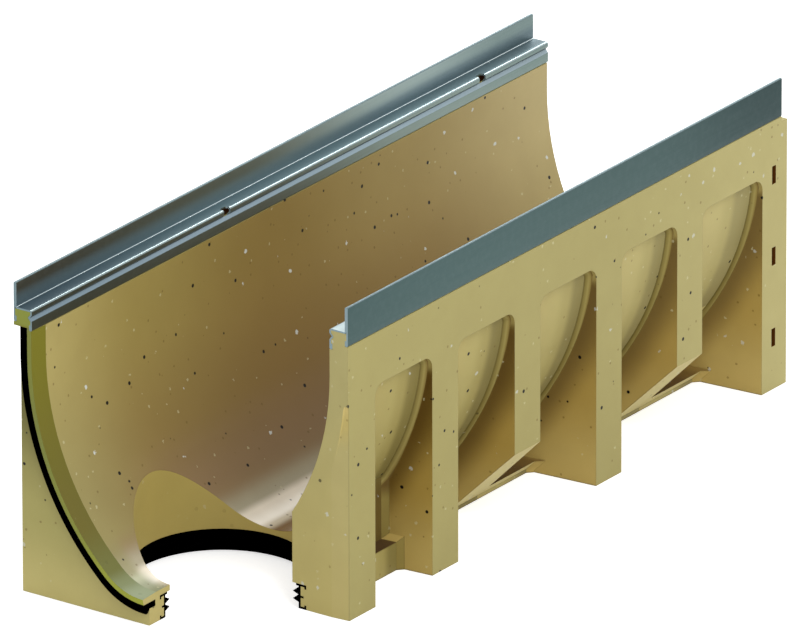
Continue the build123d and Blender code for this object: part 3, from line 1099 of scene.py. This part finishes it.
def make_rail(name, start):
    """Folds, punches and thickens one rail that runs from its start to the far end."""
    rail = folded_rail(name, start, RAIL_END)
    round_folds(rail)
    print(name, "punched faces:", punch_notches(rail), "corners:", round_notches(rail))
    work_on(rail)
    solidify = rail.modifiers.new("thickness", "SOLIDIFY")
    solidify.thickness = SHEET
    solidify.offset = 0.0
    bpy.ops.object.modifier_apply(modifier=solidify.name)
    settle(rail)
    return rail


right_rail = make_rail("right_rail_sheet", CUT)
left_rail = make_rail("left_rail_sheet", NEAR)
report(left_rail)

# %% Mirror the left rail to its side and dress both
edit_all(left_rail)
bpy.ops.transform.mirror(
    orient_type="GLOBAL", constraint_axis=(True, False, False), center_override=(0, 0, 0)
)
object_mode()
settle(left_rail)


def fold_of(face, side):
    """Which fold of the rail a face belongs to."""
    inward = SIDE - abs(face.center.x)
    rise = face.center.z - LEDGE
    toward = -side * face.normal.x
    if abs(face.normal.y) > 0.7:
        return "sheared_end"
    if toward < -0.9 and inward < 3 * MM:
        return "outer_flange"
    if rise > 28.8 * MM:
        return "rim"
    if inward > 22.2 * MM and rise > -1.6 * MM and toward > 0.05:
        return "bend"
    if 0.1 < toward < 0.97 and inward < 6 * MM and rise < 3 * MM:
        return "fold"
    if inward < 4.5 * MM:
        return "inner_flange"
    if rise > -0.6 * MM:
        return "ledge_painted_highlight" if side > 0 else "ledge"
    if toward > 0 and face.normal.z < -0.3 and rise > -10 * MM:
        return "groove_top"
    if toward > 0 and face.normal.z > 0.3:
        return "groove_low"
    return "skirt"


def dress_rail(rail, side):
    """Gives the folds of a rail their own steel finishes."""
    for material in STEELS.values():
        rail.data.materials.append(material)
    for face in rail.data.polygons:
        face.material_index = STEEL_SLOT[fold_of(face, side)]
    shade(rail, 35)
    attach(rail, "root")


dress_rail(right_rail, 1)
dress_rail(left_rail, -1)
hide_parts("right_edge_rail")
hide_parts("left_edge_rail")
report(right_rail)

# %% [markdown]
# ## Rubber for the seals
#
# Seal rubber is black with hardly any sheen.  A little dust makes it paler in patches, which
# is kept so faint that it only shows close by.

# %% Rubber finish
def rubber():
    """Seal rubber, in one finish for both seals."""
    finish = Finish("seal_rubber_black")
    dust = finish.noise(60, 4, 0.6)
    colour = finish.mix(finish.smooth(dust, 0.45, 0.8, 0.0, 0.3), linear(0, 0, 0), linear(5, 5, 5))
    fine = finish.noise(1500, 2, 0.5)
    return finish.finish(
        Base_Color=colour,
        Roughness=finish.smooth(dust, 0.3, 0.7, 0.6, 0.75),
        Specular_IOR_Level=0.0,
        Normal=finish.bump(fine, 0.00008, 0.4),
    )


seal_rubber_black = rubber()
print("rubber ready")

# %% [markdown]
# ## The outlet seal
#
# The seal is a ring of one section: a thin wall with two lips that press on the pipe, and
# feet and an anchor that hold it in the concrete.  A ring of one section asks for the spin
# operator.  The section starts as a plane for the wall, is cut across where something
# branches off, and the branches are extruded; then it is spun about the bore's axis.

# %% Draw the wall of the seal's section
WALL = 2.8 * MM
RING_TOP = 29.5 * MM
LEG = 2.6 * MM
LIP_MIDDLES = (10.5 * MM, 19.5 * MM)
LIP_HALF = 3.2 * MM
ANCHOR_LOW = 13.0 * MM
LEG_STEPS = (5.1, 2.6)
TOP_STEPS = (-3.5,)
ANCHOR_STEPS = (4.0,)
LIP_STEPS = (-4.0, -3.5)
LIP_SHARES = (0.55, 0.12)
HOOK = 2.4 * MM
ON_WALL = 0.01 * MM
SPIN_STEPS = 108
web_in = BORE + 8.5 * MM
web_out = web_in + WALL


def seal_wall():
    """The wall of the seal in the plane of the cut, cut across where a branch starts."""
    wall = new_plane(
        "outlet_seal_ring",
        (WALL, RING_TOP),
        (math.radians(90), 0, 0),
        ((web_in + web_out) / 2, CUT, RING_TOP / 2),
    )
    levels = [LEG, RING_TOP - LEG, ANCHOR_LOW, ANCHOR_LOW + LEG]
    for middle in LIP_MIDDLES:
        levels += [middle - LIP_HALF, middle + LIP_HALF]
    for level in levels:
        cut_across(wall, (0, 0, level), (0, 0, 1))
    return wall


def branch(section, radius, low, high, steps):
    """Extrudes the edge at a radius, between two levels, by one step after another."""

    def here(a, b):
        on_wall = max(abs(a.x - radius), abs(b.x - radius)) < ON_WALL
        return on_wall and min(a.z, b.z) > low - ON_WALL and max(a.z, b.z) < high + ON_WALL

    count = pick_edges(section, here)
    for outwards in steps:
        bpy.ops.mesh.extrude_region_move(TRANSFORM_OT_translate={"value": (outwards * MM, 0, 0)})
    object_mode()
    return count


ring = seal_wall()
found = [
    branch(ring, web_out, 0, LEG, LEG_STEPS),
    branch(ring, web_out, RING_TOP - LEG, RING_TOP, LEG_STEPS),
    branch(ring, web_in, RING_TOP - LEG, RING_TOP, TOP_STEPS),
    branch(ring, web_out, ANCHOR_LOW, ANCHOR_LOW + LEG, ANCHOR_STEPS),
]
for middle in LIP_MIDDLES:
    found.append(branch(ring, web_in, middle - LIP_HALF, middle + LIP_HALF, LIP_STEPS))
print("branches found edges:", found)

# %% Taper the lips, turn the hooks and spin the ring
def taper_lip(section, middle):
    """Draws the lip to a thin edge, step by step outwards."""
    radius = web_in
    for step, share in zip(LIP_STEPS, LIP_SHARES):
        radius += step * MM

        def at_step(a, b, radius=radius):
            return all(abs(p.x - radius) < ON_WALL and abs(p.z - middle) < 4 * MM for p in (a, b))

        pick_edges(section, at_step)
        bpy.ops.transform.resize(
            value=(1, 1, share), center_override=(radius, CUT, middle), orient_type="GLOBAL"
        )
        object_mode()


def hook(section, level, direction):
    """Turns the end of a leg over, as a hook."""

    def end_of_leg(a, b):
        return all(abs(p.z - level) < ON_WALL and p.x > web_out + 5 * MM for p in (a, b))

    count = pick_edges(section, end_of_leg)
    bpy.ops.mesh.extrude_region_move(TRANSFORM_OT_translate={"value": (0, 0, direction * HOOK)})
    object_mode()
    return count


for middle in LIP_MIDDLES:
    taper_lip(ring, middle)
print("hooks:", hook(ring, LEG, 1), hook(ring, RING_TOP - LEG, -1))
edit_all(ring)
bpy.ops.mesh.remove_doubles(threshold=MERGE)
bpy.ops.mesh.spin(
    steps=SPIN_STEPS, angle=math.radians(-270), center=(0, CUT, 0), axis=(0, 0, 1), dupli=False
)
object_mode()
settle(ring)
ring.data.materials.append(seal_rubber_black)
shade(ring, 35)
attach(ring, "root")
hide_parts("outlet_seal")
report(ring)

# %% [markdown]
# ## The joint seal
#
# A rubber strip runs round the lip at the near end and is squeezed when the next channel is
# pushed on.  Its path is a straight piece, a long arc and a short arc, so the section is
# extruded once and spun twice, about the centres of the two arcs.  A curve with a bevel
# profile would also do, but the spin keeps the arcs exact.

# %% Draw the joint seal
# Distance outwards from the clear width and along from the near end, in millimetres.
SEAL_POINTS = [
    (8.5, 2.6),
    (13.0, 3.4),
    (18.0, 4.6),
    (20.6, 6.0),
    (21.2, 8.2),
    (20.2, 10.6),
    (17.6, 13.0),
    (16.1, 13.0),
    (16.1, 24.3),
    (8.5, 24.3),
]


def joint_strip():
    """Section at the top of the lip, extruded down and spun round the bed."""
    bpy.ops.object.select_all(action="DESELECT")
    bpy.ops.mesh.primitive_circle_add(vertices=len(SEAL_POINTS), radius=0.01, fill_type="NGON")
    strip = bpy.context.active_object
    strip.name = "joint_seal_strip"
    strip.data.name = "joint_seal_strip"
    for vertex, (outward, along) in zip(strip.data.vertices, SEAL_POINTS):
        vertex.co = (-CLEAR - outward * MM, NEAR + along * MM, HEAD)
    edit_all(strip)
    bpy.ops.mesh.extrude_region_move(TRANSFORM_OT_translate={"value": (0, 0, SPRING - HEAD)})
    for steps, angle, centre in (
        (40, math.acos(ARC_RUN), (WALL_RADIUS - CLEAR, 0, SPRING)),
        (20, math.asin(ARC_RUN), (0, 0, INVERT_CENTRE)),
    ):
        bpy.ops.mesh.spin(steps=steps, angle=angle, center=centre, axis=(0, 1, 0))
    object_mode()
    return strip


strip = joint_strip()
settle(strip)
strip.data.materials.append(seal_rubber_black)
shade(strip, 40)
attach(strip, "root")
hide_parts("joint_seal")
report(strip)

# %% [markdown]
# ## Studio
#
# A pale floor, an even white surround and two soft lamps.  The surround lights the object
# at a plain level.  What the camera, a gloss or a glass sees of the surround is white, which
# the Light Path node does without adding light, and the floor still keeps the shadow.

# %% Floor, surround and lamps
SURROUND = 0.72
FLOOR_LIFT = 0.62
FLOOR_SIZE = 14
FLOOR_LEVEL = -0.5 * MM


def seen_directly(tree):
    """One for camera, glossy and transmission rays, and nothing for the light that bounces."""
    path = tree.nodes.new("ShaderNodeLightPath")
    seen = path.outputs["Is Camera Ray"]
    for kind in ("Is Glossy Ray", "Is Transmission Ray"):
        larger = tree.nodes.new("ShaderNodeMath")
        larger.operation = "MAXIMUM"
        tree.links.new(seen, larger.inputs[0])
        tree.links.new(path.outputs[kind], larger.inputs[1])
        seen = larger.outputs[0]
    return seen


def between(tree, share, low, high):
    """The value low where the share is nothing, and high where it is one."""
    made = tree.nodes.new("ShaderNodeMapRange")
    tree.links.new(share, made.inputs["Value"])
    made.inputs["To Min"].default_value = low
    made.inputs["To Max"].default_value = high
    return made.outputs["Result"]


bpy.ops.object.select_all(action="DESELECT")
bpy.ops.mesh.primitive_plane_add(size=FLOOR_SIZE, location=(0, 0, FLOOR_LEVEL))
floor = bpy.context.active_object
floor.name = "studio_floor"
floor_finish = bpy.data.materials.new("studio_floor_white")
floor_finish.use_nodes = True
tree = floor_finish.node_tree
base = tree.nodes["Principled BSDF"]
base.inputs["Base Color"].default_value = (0.8, 0.8, 0.8, 1)
base.inputs["Roughness"].default_value = 1.0
base.inputs["Specular IOR Level"].default_value = 0.0
base.inputs["Emission Color"].default_value = (1, 1, 1, 1)
lift = between(tree, seen_directly(tree), 0.0, FLOOR_LIFT)
tree.links.new(lift, base.inputs["Emission Strength"])
floor.data.materials.append(floor_finish)

world = bpy.data.worlds.new("studio_surround")
bpy.context.scene.world = world
world.use_nodes = True
tree = world.node_tree
background = tree.nodes["Background"]
background.inputs["Color"].default_value = (1, 1, 1, 1)
glow = between(tree, seen_directly(tree), SURROUND, 1.0)
tree.links.new(glow, background.inputs["Strength"])


def soft_lamp(name, direction, distance, size, power):
    """A square soft lamp, aimed at the middle of the object."""
    lamp_data = bpy.data.lights.new(name, "AREA")
    lamp_data.size = size
    lamp_data.energy = power
    lamp = bpy.data.objects.new(name, lamp_data)
    bpy.context.scene.collection.objects.link(lamp)
    where = Vector(direction).normalized() * distance
    lamp.location = aim + where
    lamp.rotation_euler = (-where).to_track_quat("-Z", "Y").to_euler()


soft_lamp("lamp_behind", (-0.21, 0.75, 0.62), 4.0, 1.4, 60)
soft_lamp("lamp_right", (0.8, -0.35, 0.75), 5.0, 3.0, 110)
print("surround", SURROUND, "floor lift", FLOOR_LIFT)
